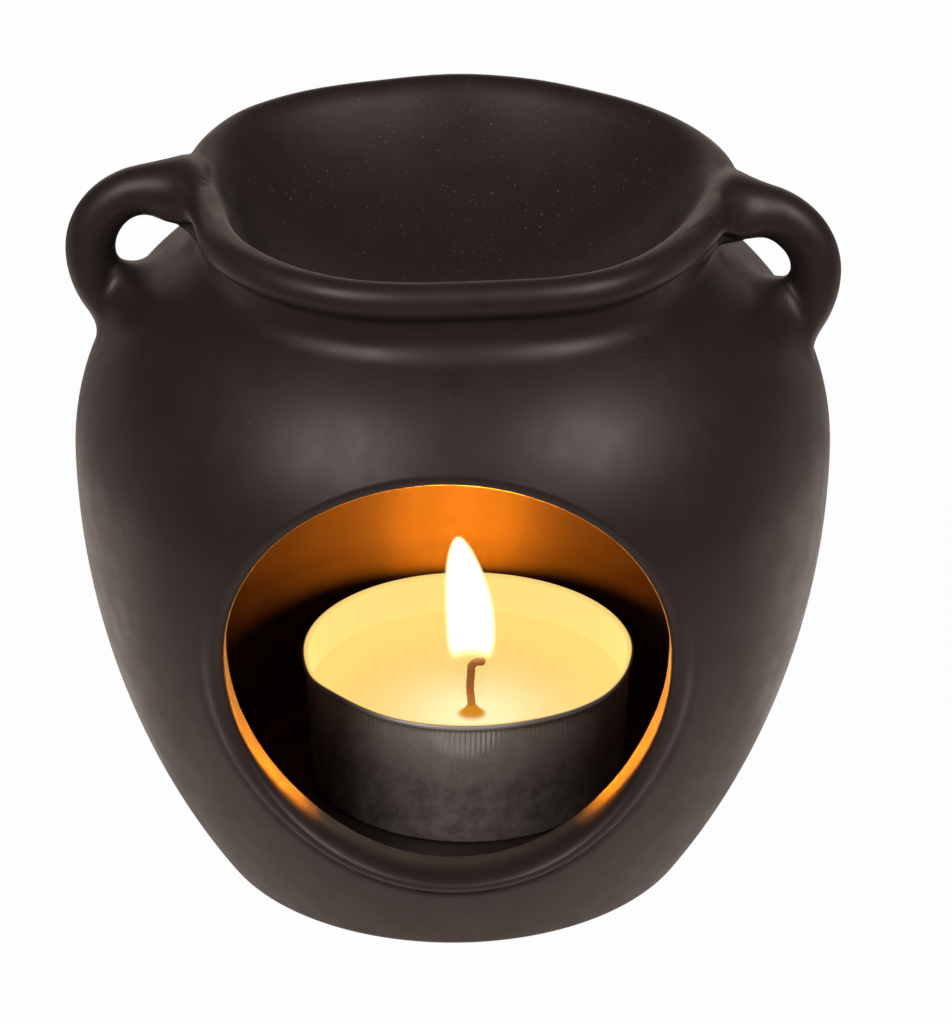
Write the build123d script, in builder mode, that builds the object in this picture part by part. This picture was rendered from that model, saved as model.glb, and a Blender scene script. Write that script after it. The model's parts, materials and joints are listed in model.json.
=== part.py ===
from build123d import *
import math
import os

# Essential oil burner: a stoneware pot with a round window in its front, a shallow dish
# closing its mouth, two ear handles, and a tealight that stands on the floor inside.
# Millimetres. +Z is up, the window faces -Y, and the origin is the centre of the foot.

# Pot: it swells from the foot to the belly, and the shoulder draws in to the neck
foot_radius = 25.5
foot_edge_round = 1.2
heel_height = 12.0
heel_swell = 8.1
belly_height = 50.0
flank_swell = 8.4
shoulder_rise = 25.5
shoulder_step = 14.2
groove_curve = 3.0
wall = 4.3
floor_thickness = 5.4
chamber_floor_inset = 1.1

# Window: a round hole, centred a little below the belly
window_radius = 24.4
window_drop = 12.4
window_offset = -0.5
window_outer_round = 1.6
window_inner_round = 0.6

# Dish: its rim rises from the neck and stands out over the groove
rim_rise = 6.0
rim_overhang = 3.2
rim_round = 2.0
rim_land = 0.5
bowl_depth = 14.0
bowl_edge_round = 0.4
dish_wall = 4.0
seat_width = 3.3

# Ear handles: a roll of clay that stands out from the rim, pressed on thicker at both roots.
# A foot angle is the bearing of the foot on the shoulder's arc, up from the belly.
ear_roll_radius = 2.75
ear_crown_root_radius = 3.3
ear_foot_root_radius = 3.3
ear_stand = 8.8
ear_curve = 7.5
ear_crown_turn = 100.0
ear_foot_depth = 2.3
ear_line_turn = -2.9
left_ear_drop = 9.8
left_ear_foot_angle = 34.9
right_ear_drop = 10.8
right_ear_foot_angle = 32.9

# Tealight
tealight_x = 1.6
tealight_y = 4.3
cup_margin = 6.3
cup_flare = 0.5
cup_height = 15.5
cup_wall = 0.25
cup_corner_round = 1.2
cup_bead_radius = 0.4
wax_depth = 10.0
wax_clearance = 0.05
wick_shift_x = 0.5
wick_shift_y = -6.0
wick_radius = 0.65
wick_bare_length = 4.6
wick_bend = 1.2
wick_bend_turn = 100.0
wick_tip_length = 0.8
sustainer_disc_radius = 6.2
sustainer_disc_thickness = 0.3
sustainer_collar_radius = 1.3
sustainer_height = 3.2
crimp_clearance = 0.05

os.makedirs("parts", exist_ok=True)


def upright_arc(step, rise):
    """The radius and turn of an arc that starts upright and moves step sideways over rise.

    An S of two tangent arcs, upright at both ends, shares this radius between its arcs, and
    each of them has this turn.
    """
    return (rise**2 + step**2) / (2 * step), 2 * math.degrees(math.atan2(step, rise))


# The flank rises to the belly, and the shoulder falls away into the groove of the neck
belly_radius = foot_radius + heel_swell + flank_swell
neck_radius = belly_radius - shoulder_step
neck_height = belly_height + shoulder_rise
flank_curve, flank_turn = upright_arc(flank_swell, belly_height - heel_height)
shoulder_and_groove, shoulder_turn = upright_arc(shoulder_step, shoulder_rise)
shoulder_curve = shoulder_and_groove - groove_curve
shoulder_centre = Vector(belly_radius - shoulder_curve, belly_height)
chamber_floor_radius = foot_radius - chamber_floor_inset

# The dish is a cap of a sphere, centred above the pot
rim_height = neck_height + rim_rise
rim_radius = neck_radius + rim_overhang
bowl_radius = rim_radius - rim_round - rim_land
bowl_curve = (bowl_radius**2 + bowl_depth**2) / (2 * bowl_depth)
bowl_centre = rim_height - bowl_depth + bowl_curve
dish_curve = bowl_curve + dish_wall
dish_bottom = bowl_centre - dish_curve
seat_radius = neck_radius - seat_width
seat_height = bowl_centre - math.sqrt(dish_curve**2 - seat_radius**2)

# Pot body: one wall of even thickness over a flat foot, open at the neck and the window
with BuildPart() as pot_body:
    with BuildSketch(Plane.XZ):
        with BuildLine():
            flank = JernArc((belly_radius, belly_height), (0, -1), flank_curve, -flank_turn)
            TangentArc(flank @ 1, (foot_radius, 0), tangent=flank % 1)
            shoulder = JernArc((belly_radius, belly_height), (0, 1), shoulder_curve, shoulder_turn)
            JernArc(shoulder @ 1, shoulder % 1, groove_curve, -shoulder_turn)
            Polyline((foot_radius, 0), (0, 0), (0, neck_height), (neck_radius, neck_height))
        make_face()
    revolve(axis=Axis.Z)
    fillet(pot_body.edges().group_by(Axis.Z)[0], radius=foot_edge_round)
    with BuildSketch(Plane.XZ):
        with Locations((window_offset, belly_height - window_drop)):
            Circle(window_radius)
    extrude(amount=belly_radius, mode=Mode.SUBTRACT)
    window_edges = pot_body.edges(Select.LAST).filter_by(GeomType.BSPLINE)
    fillet(window_edges, radius=window_outer_round)
    with BuildSketch(Plane.XZ):
        with BuildLine():
            inner_flank = JernArc(
                (belly_radius - wall, belly_height), (0, -1), flank_curve - wall, -flank_turn
            )
            TangentArc(inner_flank @ 1, (chamber_floor_radius, floor_thickness), tangent=inner_flank % 1)
            inner_shoulder = JernArc(
                (belly_radius - wall, belly_height), (0, 1), shoulder_curve - wall, shoulder_turn
            )
            Polyline(inner_shoulder @ 1, (seat_radius, seat_height), (neck_radius, neck_height), (0, neck_height))
            Polyline((0, neck_height), (0, floor_thickness), (chamber_floor_radius, floor_thickness))
        make_face()
    revolve(axis=Axis.Z, mode=Mode.SUBTRACT)
    window_edges = pot_body.edges(Select.LAST).filter_by(GeomType.BSPLINE)
    fillet(window_edges, radius=window_inner_round)
pot_body.part.label = "pot_body"
export_step(pot_body.part, "parts/pot_body.step")

# Dish: a shallow bowl seated on the neck, its rim rolled out over the groove
groove_and_rim, rim_turn = upright_arc(rim_overhang, rim_rise - rim_round)
groove_top_curve = groove_and_rim - rim_round
with BuildPart() as oil_dish:
    with BuildSketch(Plane.XZ):
        with BuildLine():
            TangentArc((0, dish_bottom), (seat_radius, seat_height), tangent=(1, 0))
            Line((seat_radius, seat_height), (neck_radius, neck_height))
            groove_top = JernArc((neck_radius, neck_height), (0, 1), groove_top_curve, -rim_turn)
            lip = JernArc(groove_top @ 1, groove_top % 1, rim_round, rim_turn + 90)
            Line(lip @ 1, (bowl_radius, rim_height))
            TangentArc((0, rim_height - bowl_depth), (bowl_radius, rim_height), tangent=(1, 0))
            Line((0, rim_height - bowl_depth), (0, dish_bottom))
        make_face()
    revolve(axis=Axis.Z)
    bowl_edge = oil_dish.edges().filter_by(GeomType.CIRCLE).group_by(Axis.Z)[-1].sort_by(SortBy.RADIUS)[0]
    fillet(bowl_edge, radius=bowl_edge_round)
oil_dish.part.label = "oil_dish"
export_step(oil_dish.part, "parts/oil_dish.step")

# Ear handles: a roll of clay from the rim out and down to the shoulder, cut to the pot
ear_reach = rim_radius + ear_stand
crown_run = ear_reach - ear_curve * (1 - math.cos(math.radians(ear_crown_turn))) - neck_radius
crown_length = crown_run / math.sin(math.radians(ear_crown_turn))
ears = {
    "left_ear_handle": (180, left_ear_drop, left_ear_foot_angle),
    "right_ear_handle": (0, right_ear_drop, right_ear_foot_angle),
}
for name, (bearing, ear_drop, foot_angle) in ears.items():
    out = Vector(1, 0, 0).rotate(Axis.Z, bearing + ear_line_turn)
    ear_plane = Plane(origin=(0, 0, 0), x_dir=out, z_dir=out.cross(Vector(0, 0, 1)))
    ear_side = (ear_reach, rim_height - ear_drop)
    foot_root = shoulder_centre + Vector(shoulder_curve - ear_foot_depth, 0).rotate(Axis.Z, foot_angle)
    with BuildPart() as ear:
        with BuildLine(ear_plane) as centre_line:
            crown = JernArc(ear_side, (0, 1), ear_curve, ear_crown_turn)
            crown_end = PolarLine(crown @ 1, crown_length, direction=crown % 1)
            foot = TangentArc(ear_side, (foot_root.X, foot_root.Y), tangent=(0, -1))
        for end, place, roll_radius in (
            (crown_end, 1, ear_crown_root_radius),
            (crown, 0, ear_roll_radius),
            (foot, 1, ear_foot_root_radius),
        ):
            with BuildSketch(Plane(origin=end @ place, z_dir=end % place)):
                Circle(roll_radius)
        sweep(path=centre_line.wires()[0], multisection=True)
        add(pot_body.part, mode=Mode.SUBTRACT)
        add(oil_dish.part, mode=Mode.SUBTRACT)
        with BuildSketch(Plane.XY.offset(rim_height - rim_round)):
            Circle(rim_radius - rim_round)
        extrude(amount=2 * ear_crown_root_radius, mode=Mode.SUBTRACT)
    ear.part.label = name
    export_step(ear.part, f"parts/{name}.step")


def cup_form(inset, top):
    """The cup's rounded form, drawn in by inset all round, from its floor up to top."""
    lean = cup_flare / cup_height
    with BuildPart() as form:
        with BuildSketch(cup_plane.offset(inset)):
            Circle(cup_foot_radius + lean * inset - inset)
        with BuildSketch(cup_plane.offset(top)):
            Circle(cup_foot_radius + lean * top - inset)
        loft()
        fillet(form.edges().group_by(Axis.Z)[0], radius=cup_corner_round - inset)
    return form.part


# Tealight: a pressed cup with a beaded edge, standing on the floor of the chamber
cup_foot_radius = chamber_floor_radius - cup_margin
cup_mouth_radius = cup_foot_radius + cup_flare
cup_plane = Plane((tealight_x, tealight_y, floor_thickness))
cup_shell = cup_form(0, cup_height)
cup_hollow = cup_form(cup_wall, cup_height)
with BuildPart() as tealight_cup:
    add(cup_shell)
    add(cup_hollow, mode=Mode.SUBTRACT)
    with Locations(cup_plane.offset(cup_height - cup_bead_radius)):
        Torus(cup_mouth_radius, cup_bead_radius)
tealight_cup.part.label = "tealight_cup"
export_step(tealight_cup.part, "parts/tealight_cup.step")

# Sustainer: a disc on the floor of the cup, with a collar crimped round the wick
wick_plane = cup_plane.offset(cup_wall).shift_origin(
    (tealight_x + wick_shift_x, tealight_y + wick_shift_y, floor_thickness + cup_wall)
)
crimp_radius = wick_radius + crimp_clearance
with BuildPart() as wick_sustainer:
    with BuildSketch(wick_plane):
        Circle(sustainer_disc_radius)
    extrude(amount=sustainer_disc_thickness)
    with BuildSketch(wick_plane):
        Circle(sustainer_collar_radius)
    extrude(amount=sustainer_height)
    with BuildSketch(wick_plane):
        Circle(crimp_radius)
    extrude(amount=sustainer_height, mode=Mode.SUBTRACT)
wick_sustainer.part.label = "wick_sustainer"
export_step(wick_sustainer.part, "parts/wick_sustainer.step")

# Wick: upright through the wax, its burnt tip bent over to the right
wax_level = wax_depth + wax_clearance
with BuildPart() as wick:
    with BuildLine(Plane(wick_plane.origin, x_dir=(1, 0, 0), z_dir=(0, -1, 0))) as wick_line:
        stem = Line((0, crimp_clearance), (0, wax_level + wick_bare_length))
        bend = JernArc(stem @ 1, stem % 1, wick_bend, -wick_bend_turn)
        PolarLine(bend @ 1, wick_tip_length, direction=bend % 1)
    with BuildSketch(wick_plane.offset(crimp_clearance)):
        Circle(wick_radius)
    sweep(path=wick_line.wires()[0])
wick.part.label = "wick"
export_step(wick.part, "parts/wick.step")

# Wax: fills the cup to its level, cast round the sustainer and the wick
wax_form = cup_form(cup_wall + wax_clearance, cup_wall + wax_level)
with BuildPart() as tealight_wax:
    add(wax_form)
    with BuildSketch(wick_plane):
        Circle(sustainer_disc_radius + wax_clearance)
    extrude(amount=sustainer_disc_thickness + wax_clearance, mode=Mode.SUBTRACT)
    with BuildSketch(wick_plane):
        Circle(sustainer_collar_radius + wax_clearance)
    extrude(amount=sustainer_height + wax_clearance, mode=Mode.SUBTRACT)
    with BuildSketch(wick_plane):
        Circle(wick_radius + wax_clearance)
    extrude(amount=wax_level, mode=Mode.SUBTRACT)
tealight_wax.part.label = "tealight_wax"
export_step(tealight_wax.part, "parts/tealight_wax.step")
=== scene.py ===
import json
import math

import bmesh
import bpy
import numpy as np
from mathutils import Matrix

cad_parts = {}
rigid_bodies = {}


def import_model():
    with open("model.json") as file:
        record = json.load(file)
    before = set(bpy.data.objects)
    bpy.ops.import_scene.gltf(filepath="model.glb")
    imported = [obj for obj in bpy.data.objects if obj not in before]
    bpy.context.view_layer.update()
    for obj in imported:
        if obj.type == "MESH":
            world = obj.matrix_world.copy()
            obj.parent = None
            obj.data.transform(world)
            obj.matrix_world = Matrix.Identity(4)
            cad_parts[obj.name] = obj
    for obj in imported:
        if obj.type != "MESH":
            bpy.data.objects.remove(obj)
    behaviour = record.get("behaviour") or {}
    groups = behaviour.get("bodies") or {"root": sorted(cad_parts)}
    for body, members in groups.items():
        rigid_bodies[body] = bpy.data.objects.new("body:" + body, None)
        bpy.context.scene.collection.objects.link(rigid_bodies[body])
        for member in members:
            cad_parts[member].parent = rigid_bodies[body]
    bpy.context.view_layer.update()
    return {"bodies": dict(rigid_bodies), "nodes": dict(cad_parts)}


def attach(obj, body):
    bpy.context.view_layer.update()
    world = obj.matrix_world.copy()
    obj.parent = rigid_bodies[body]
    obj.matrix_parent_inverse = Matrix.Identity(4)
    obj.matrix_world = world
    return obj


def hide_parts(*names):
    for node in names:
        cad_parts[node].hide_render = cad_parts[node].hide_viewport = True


# Essential oil burner: a dark glazed pot with a round window, its oil dish and two ears,
# and a lit tealight inside. Shapes are worked out in millimetres and made in metres.

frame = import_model()

MM = 0.001


def ease(x, low, high):
    """0 at low and on that side of it, 1 at high and on that, and the S 3t^2 - 2t^3 between them."""
    t = np.clip((x - low) / (high - low), 0, 1)
    return t * t * (3 - 2 * t)


def bump_at(x, middle, width):
    """A bell of height 1 round middle, exp(-((x - middle) / width)^2)."""
    return np.exp(-(((x - middle) / width) ** 2))


def wander(table, soften=5.0):
    """A smooth closed curve through a table of bearing in degrees and size, as a function of angle.

    Straight steps between the entries are blurred round the circle by a bell of soften degrees.
    """
    fine = np.arange(-180, 180)
    known = np.array(sorted(table.items()), float)
    size = np.interp(fine, known[:, 0], known[:, 1], period=360)
    reach = np.arange(-20, 21)
    bell = np.exp(-((reach / soften) ** 2))
    size = sum(b * np.roll(size, s) for b, s in zip(bell / bell.sum(), reach))
    return lambda angle: np.interp(np.degrees(angle), fine, size, period=360)


# Profiles: rows of (distance from the axis, height)


def arc(start, heading, radius, turn, steps):
    """An arc that leaves start at heading degrees and turns left by turn degrees, or right below 0."""
    outward = math.radians(heading - math.copysign(90, turn))
    centre = np.array(start) - radius * np.array([math.cos(outward), math.sin(outward)])
    angle = outward + np.radians(np.linspace(0, turn, steps + 1))
    return centre + radius * np.stack([np.cos(angle), np.sin(angle)], -1)


def aimed_arc(start, heading, end, steps):
    """The arc that leaves start at heading degrees and ends at end: it turns by twice its chord's lean."""
    chord = np.array(end, float) - start
    lean = math.degrees(math.atan2(chord[1], chord[0])) - heading
    lean = (lean + 180) % 360 - 180
    radius = np.hypot(*chord) / abs(2 * math.sin(math.radians(lean)))
    return arc(start, heading, radius, 2 * lean, steps)


def straight(start, end, steps):
    """Evenly spaced points from start to end."""
    return np.linspace(start, end, steps + 1)


def chain(*runs):
    """Runs of a profile end to end, each shared point kept once."""
    return np.vstack([runs[0]] + [run[1:] for run in runs[1:]])


def bend(a, c, b, steps):
    """The curve (1-t)^2 A + 2t(1-t) C + t^2 B, which leaves A towards C and reaches B from C."""
    t = np.linspace(0, 1, steps + 1)[:, None]
    return (1 - t) ** 2 * a + 2 * t * (1 - t) * c + t**2 * b


def soft_corner(profile, corner, reach, steps):
    """The profile with its points within reach of corner replaced by a bend round that corner."""
    near = np.hypot(*(profile - corner).T) < reach
    first, last = np.flatnonzero(near)[[0, -1]]
    c = np.array(corner, float)
    before, after = profile[first - 1], profile[last + 1]
    a = c + (before - c) * reach / np.hypot(*(before - c))
    b = c + (after - c) * reach / np.hypot(*(after - c))
    return np.vstack([profile[:first], bend(a, c, b, steps), profile[last + 1 :]])


def even(profile, spacing):
    """The profile with points about spacing apart along its length."""
    along = np.concatenate([[0], np.cumsum(np.hypot(*np.diff(profile, axis=0).T))])
    steps = max(2, int(along[-1] / spacing))
    at = np.linspace(0, along[-1], steps + 1)
    return np.stack([np.interp(at, along, profile[:, 0]), np.interp(at, along, profile[:, 1])], -1)


# The pot's side: down from the belly round the heel to the foot, and up over the shoulder and
# through the groove to the neck. The chamber's side lies a wall further in.
BELLY = (42.0, 50.0)
WALL = 4.3
INNER_BELLY = (BELLY[0] - WALL, BELLY[1])
FOOT = (26.8, 0.0)
FLOOR = (24.4, 5.4)
SEAT = (24.5, 71.88)
FLANK_RADIUS = 90.15
FLANK_TURN = 24.94
SHOULDER_RADIUS = 26.996
SHOULDER_TURN = 55.6
INNER_SHOULDER_TURN = 58.23
GROOVE_RADIUS = 4.7
GROOVE_HEIGHT = 76.3

flank = arc(BELLY, -90, FLANK_RADIUS, -FLANK_TURN, 60)
heel = aimed_arc(flank[-1], -90 - FLANK_TURN, FOOT, 30)
shoulder = arc(BELLY, 90, SHOULDER_RADIUS, SHOULDER_TURN, 60)
groove = arc(shoulder[-1], 90 + SHOULDER_TURN, GROOVE_RADIUS, -SHOULDER_TURN, 20)
NECK = tuple(groove[-1])
inner_flank = arc(INNER_BELLY, -90, FLANK_RADIUS - WALL, -FLANK_TURN, 60)
inner_heel = aimed_arc(inner_flank[-1], -90 - FLANK_TURN, FLOOR, 20)
inner_shoulder = arc(INNER_BELLY, 90, SHOULDER_RADIUS - WALL, INNER_SHOULDER_TURN, 60)

outer_side = chain(heel[::-1], flank[::-1], shoulder)
inner_side = chain(inner_heel[::-1], inner_flank[::-1], inner_shoulder)

# The dish's rim and bowl. Its lip leaves the overhang at LIP_HEADING and rolls over to the bowl's
# edge, and what lies inside RIM_MIDDLE belongs to the bowl's side of it. The bowl is level in its
# middle, and its underside is an arc of its own up to the seat.
OVERHANG_RADIUS = 1.5
LIP_HEADING = 12.68
LIP_RADIUS = 2.0
LIP_STEPS = 26
RIM_MIDDLE = 28.9
BOWL_EDGE = (28.5, 81.5)
BOWL_RADIUS = 36.0
BOWL_TURN = 52.34
UNDERSIDE_LOW = (0, 63.5)
UNDERSIDE_RADIUS = 40.0
UNDERSIDE_TURN = 37.77

overhang = arc(NECK, 90, OVERHANG_RADIUS, LIP_HEADING - 90, 10)
bowl = arc(BOWL_EDGE, BOWL_TURN - 180, BOWL_RADIUS, -BOWL_TURN, 60)
underside = arc(UNDERSIDE_LOW, 0, UNDERSIDE_RADIUS, UNDERSIDE_TURN, 40)


def outer_radius(z):
    """The pot's outer radius at a height of its sides."""
    return np.interp(z, outer_side[:, 1], outer_side[:, 0])


def inner_radius(z):
    """The chamber's radius at a height of its sides."""
    return np.interp(z, inner_side[:, 1], inner_side[:, 0])


# The rim's plan wanders by hand: millimetres in or out at each bearing, -90 in front
rim_plan = wander({
    -180: -1.8, -166: -2.2, -158: -1.4, -144: 0.3, -125: 1.0, -111: 0.9, -90: -0.5, -80: -0.55,
    -67: 0.5, -58: 1.1, -48: 0.8, -36: 0.2, -22: -0.5, -12: -0.3, 4: 0.6, 14: 0.6, 32: 0.2,
    58: -0.5, 70: -0.1, 88: 0.2, 106: -0.7, 125: 0.2, 141: 0.6, 147: 0.2, 164: -0.7,
})

# Beside the ears the rim is broader: how much further in the bowl's edge lies
rim_breadth = wander({
    -180: 0.6, -160: 0.9, -140: 0.7, -115: 0.1, -60: 0, -40: 0.3, -15: 0.75, 10: 0.5, 40: 0, 140: 0,
}, 9)

# Clay is smeared into the groove under the rim, most over each ear's root: how thick
groove_fill = wander({
    -154: 0.4, -174: 1.5, 168: 1.5, 146: 0.4, 27: 0.4, 6: 1.5, -12: 1.5, -33: 0.4,
}, 6)

# The bowl's edge is crisp in front, at 0, and soft behind and at the ears, at 1
edge_softness = wander({
    -180: 1, -163: 1, -152: 0.1, -146: 0, -38: 0, -30: 0.2, -22: 1, 0: 1, 90: 1,
}, 4)


def rim_share(radius, z):
    """How far a point of the clay follows the rim's wander: all the way on the rim, not at all below."""
    return ease(z, 71, 79) * np.minimum(1, (radius / BOWL_EDGE[0]) ** 2)


def breadth_share(radius, z):
    """How far a point of the bowl follows the rim's breadth: all the way at its edge, not at all low."""
    return ease(z, 68, 80) * ease(radius, 20, 27)


def hand_shift(angle, radius, z):
    """How much further out than a turned shape the skin lies: the rim's wander and the filled groove.

    The fill is a bell over the groove's height, and is left out inside the neck and on the shoulder.
    """
    fill = groove_fill(angle) * bump_at(z, GROOVE_HEIGHT, 1.4)
    fill = fill * ease(radius, 27.2, 28.2) * ease(radius, 34.5, 31)
    return rim_plan(angle) * rim_share(radius, z) + fill


def spin(profile, angle, broad=0):
    """The profile carried round the axis through angle, and moved out by the hand's shift.

    Each step of the profile is one point, or a row of one point for each angle. broad is 1 for the
    bowl's side of the rim, whose edge also moves in by the rim's breadth.
    """
    profile = profile if profile.ndim == 3 else profile[:, None]
    r, z = profile[..., 0], profile[..., 1]
    in_bowl = breadth_share(r, z) * (r < RIM_MIDDLE)
    r = r + hand_shift(angle, r, z) - broad * rim_breadth(angle) * in_bowl
    return np.stack([r * np.cos(angle), r * np.sin(angle), z * np.ones_like(angle)], -1)


# Angles round the pot, closer together at the ears, which lie at -2.9 and 177.1 degrees
EAR_LINE = math.radians(-2.9)
turn = np.arange(-180, 180) * math.pi / 180
round_pot = turn + EAR_LINE - 0.2 * np.sin(2 * turn)


# Ears: a roll of clay round each finger hole, with points this far apart and so many around
CROWN_RADIUS = 7.5
EAR_STEP = 0.22
EAR_AROUND = 56


def ear_line(outward, reach, height, crown_end, foot_end, thick, root, side, foot_swell):
    """The middle line of an ear, its radius at each point, and the way it faces.

    In the ear's upright plane, an arc goes from its side, at reach and height, over the crown, and
    a straight run of crown_end goes on at 190 degrees into the rim. Another arc goes down to
    foot_end in the shoulder. To its radius, thick, root is added towards the rim, side below the
    crown and foot_swell at the shoulder. Over the last 3 mm in the rim it closes as a ball does, by
    sqrt(1 - (1 - d/3)^2).
    """
    crown = arc((reach, height), 90, CROWN_RADIUS, 100, 40)
    run = straight(crown[-1], crown[-1] + crown_end * np.array([-0.985, -0.174]), 20)
    foot = aimed_arc((reach, height), -90, foot_end, 40)
    flat = even(chain(run[::-1], crown[::-1], foot), EAR_STEP)
    along = np.linspace(0, 1, len(flat))
    radius = thick + root * ease(along, 0.4, 0.0) + side * ease(along, 0.35, 0.6)
    radius = radius + foot_swell * ease(along, 0.7, 1.0)
    from_end = np.arange(len(flat)) * EAR_STEP
    radius = radius * np.sqrt(np.clip(1 - (1 - np.minimum(from_end / 3.0, 1)) ** 2, 0.0004, 1))
    c, s = math.cos(outward), math.sin(outward)
    line = np.stack([flat[:, 0] * c, flat[:, 0] * s, flat[:, 1]], -1)
    return line, radius, np.array([c, s, 0])


ears = {
    "left_ear_handle": ear_line(
        EAR_LINE + math.pi, reach=39.87, height=71.93, crown_end=4.4, foot_end=(35.3, 64.04),
        thick=2.64, root=0.05, side=0.1, foot_swell=0.1,
    ),
    "right_ear_handle": ear_line(
        EAR_LINE, reach=39.88, height=70.85, crown_end=2.6, foot_end=(35.45, 63.1),
        thick=2.7, root=0.22, side=0.0, foot_swell=0.3,
    ),
}


def rim_edge(soft):
    """The lip, a bend over the edge, and the bowl, for an edge that is crisp at 0 and soft at 1.

    The bend takes up 0.36 mm of the bowl, or 2 mm where soft. Its corner is where the lip's
    tangent meets the bowl's.
    """
    heading = 180 - 38 * soft
    roll = arc(overhang[-1], LIP_HEADING, LIP_RADIUS, heading - LIP_HEADING, LIP_STEPS)
    fine = 0.02
    rest = even(bowl, fine)[int((0.36 + 1.6 * soft) / fine) :]
    way_a = np.array([math.cos(math.radians(heading)), math.sin(math.radians(heading))])
    way_b = rest[0] - rest[1]
    along = np.linalg.solve(np.stack([way_a, -way_b], -1), rest[0] - roll[-1])
    over = bend(roll[-1], roll[-1] + along[0] * way_a, rest[0], 10)
    place = np.linspace(0, len(rest) - 1, 76)
    rest = np.stack([np.interp(place, np.arange(len(rest)), rest[:, i]) for i in (0, 1)], -1)
    return chain(roll, over, rest)


# The outer skin's profile, for measuring from the clay, with its outward normals. The eased ones
# are blurred over 6 mm of it, so that points moved along them don't cross in the groove.
SKIN_STEP = 0.15
skin = even(chain(outer_side[outer_side[:, 1] > 40], groove, overhang, rim_edge(1)), SKIN_STEP)
skin_way = np.gradient(skin, axis=0)
skin_way /= np.hypot(*skin_way.T)[:, None]
skin_out = np.stack([skin_way[:, 1], -skin_way[:, 0]], -1)
bell = bump_at(np.arange(-20, 21), 0, 12)
eased_out = np.stack([np.convolve(np.pad(side, 20, "edge"), bell, "valid") for side in skin_out.T], -1)
eased_out /= np.hypot(*eased_out.T)[:, None]


def nearest(points, line):
    """For each point, which point of the line is nearest."""
    parts = np.array_split(np.arange(len(points)), max(1, len(points) // 4000))
    return np.concatenate([((points[part, None] - line) ** 2).sum(-1).argmin(1) for part in parts])


def off_line(points, line, way, spacing):
    """The nearest point's number, the offset from it, and the distance from the line.

    The line has points spacing apart, so the part of the offset along it that lies between two of
    them isn't counted.
    """
    index = nearest(points, line)
    offset = points - line[index]
    along = np.minimum(np.abs((offset * way[index]).sum(-1)), spacing / 2)
    return index, offset, np.sqrt(np.maximum((offset**2).sum(-1) - along**2, 0))


def clay_gap(points):
    """Distance of points from the outer skin, below 0 inside the clay, and the eased normal there.

    The point is moved back by the hand's shift, and on the bowl's side of the clay's middle by the
    rim's breadth, then set against the nearest point of the profile. The middle leans out: it lies
    26.6 mm from the axis at a height of 76 mm, and 0.7 mm further for each one up.
    """
    angle = np.arctan2(points[:, 1], points[:, 0])
    r, z = np.hypot(points[:, 0], points[:, 1]), points[:, 2]
    r = r - hand_shift(angle, r, z)
    clay_middle = 26.6 + 0.7 * (z - 76)
    breadth = breadth_share(r, z) * rim_breadth(angle) * ease(clay_middle - r, -0.3, 0.3)
    flat = np.stack([np.maximum(np.minimum(r + breadth, RIM_MIDDLE), r), z], -1)
    index, offset, gap = off_line(flat, skin, skin_way, SKIN_STEP)
    out = eased_out[index]
    normal = np.stack([out[:, 0] * np.cos(angle), out[:, 0] * np.sin(angle), out[:, 1]], -1)
    return np.where((offset * skin_out[index]).sum(-1) < 0, -gap, gap), normal


def ear_gap(points):
    """Distance of points from the nearer ear's surface, below 0 inside it."""
    gaps = []
    for line, radius, _ in ears.values():
        way = np.gradient(line, axis=0)
        way /= np.linalg.norm(way, axis=1)[:, None]
        index, _, apart = off_line(points, line, way, EAR_STEP)
        gaps.append(apart - radius[index])
    return np.minimum(*gaps)


def blend_width(points):
    """How softly ear and pot run together.

    Little outside an ear's foot, most inside it, and less again further in under the rim. On top,
    the left ear runs in more softly than the right, and neither reaches over into the bowl.
    """
    r, x, z = np.hypot(points[:, 0], points[:, 1]), points[:, 0], points[:, 2]
    side = r - rim_plan(np.arctan2(points[:, 1], x))
    foot = 2.6 + 3.7 * ease(r, 39.3, 35.5) * (0.58 + 0.42 * ease(r, 30, 34))
    top = 1.4 + np.where(x < 0, 4.4, 2.8) * ease(side, 26.6, 31.4)
    return foot + 0.5 * bump_at(z, 74.5, 3.2) + (top - foot) * ease(z, 77, 80.5)


def shared_gap(points, first, second):
    """Distance from the surface that two clay forms share, min(a, b) - h^2 / 4w.

    a and b are the distances from the two forms, w the blend's width and h what w exceeds |a - b| by.
    """
    width = blend_width(points)
    over = np.maximum(width - np.abs(first - second), 0)
    return np.minimum(first, second) - over**2 / (4 * width)


def swell(points, normals, gap_to_other):
    """The points moved along their normals out to the shared surface, but no further than 0.36 w.

    Each of 14 steps takes up 0.8 of the distance that is left. Points inside the other form by
    gap_to_other stay where they are, because it covers them.
    """
    height = np.zeros(len(points))
    most = 0.36 * blend_width(points) * ease(gap_to_other, -1.6, -0.4)
    for _ in range(14):
        moved = points + height[:, None] * normals
        value = shared_gap(moved, clay_gap(moved)[0], ear_gap(moved))
        height = np.clip(height - 0.8 * value, 0, most)
    return points + height[:, None] * normals


def press_in_ears(points):
    """The pot's or the dish's points, lifted where an ear runs into the outer skin.

    Those within 9 mm of an ear and half a millimetre of the skin move, and none below the shoulder.
    """
    apart = ear_gap(points)
    near = np.flatnonzero((apart < 9) & (points[:, 2] > 45))
    depth, normals = clay_gap(points[near])
    on_skin = np.abs(depth) < 0.5
    near, normals = near[on_skin], normals[on_skin]
    points[near] = swell(points[near], normals, apart[near])
    return points


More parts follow.
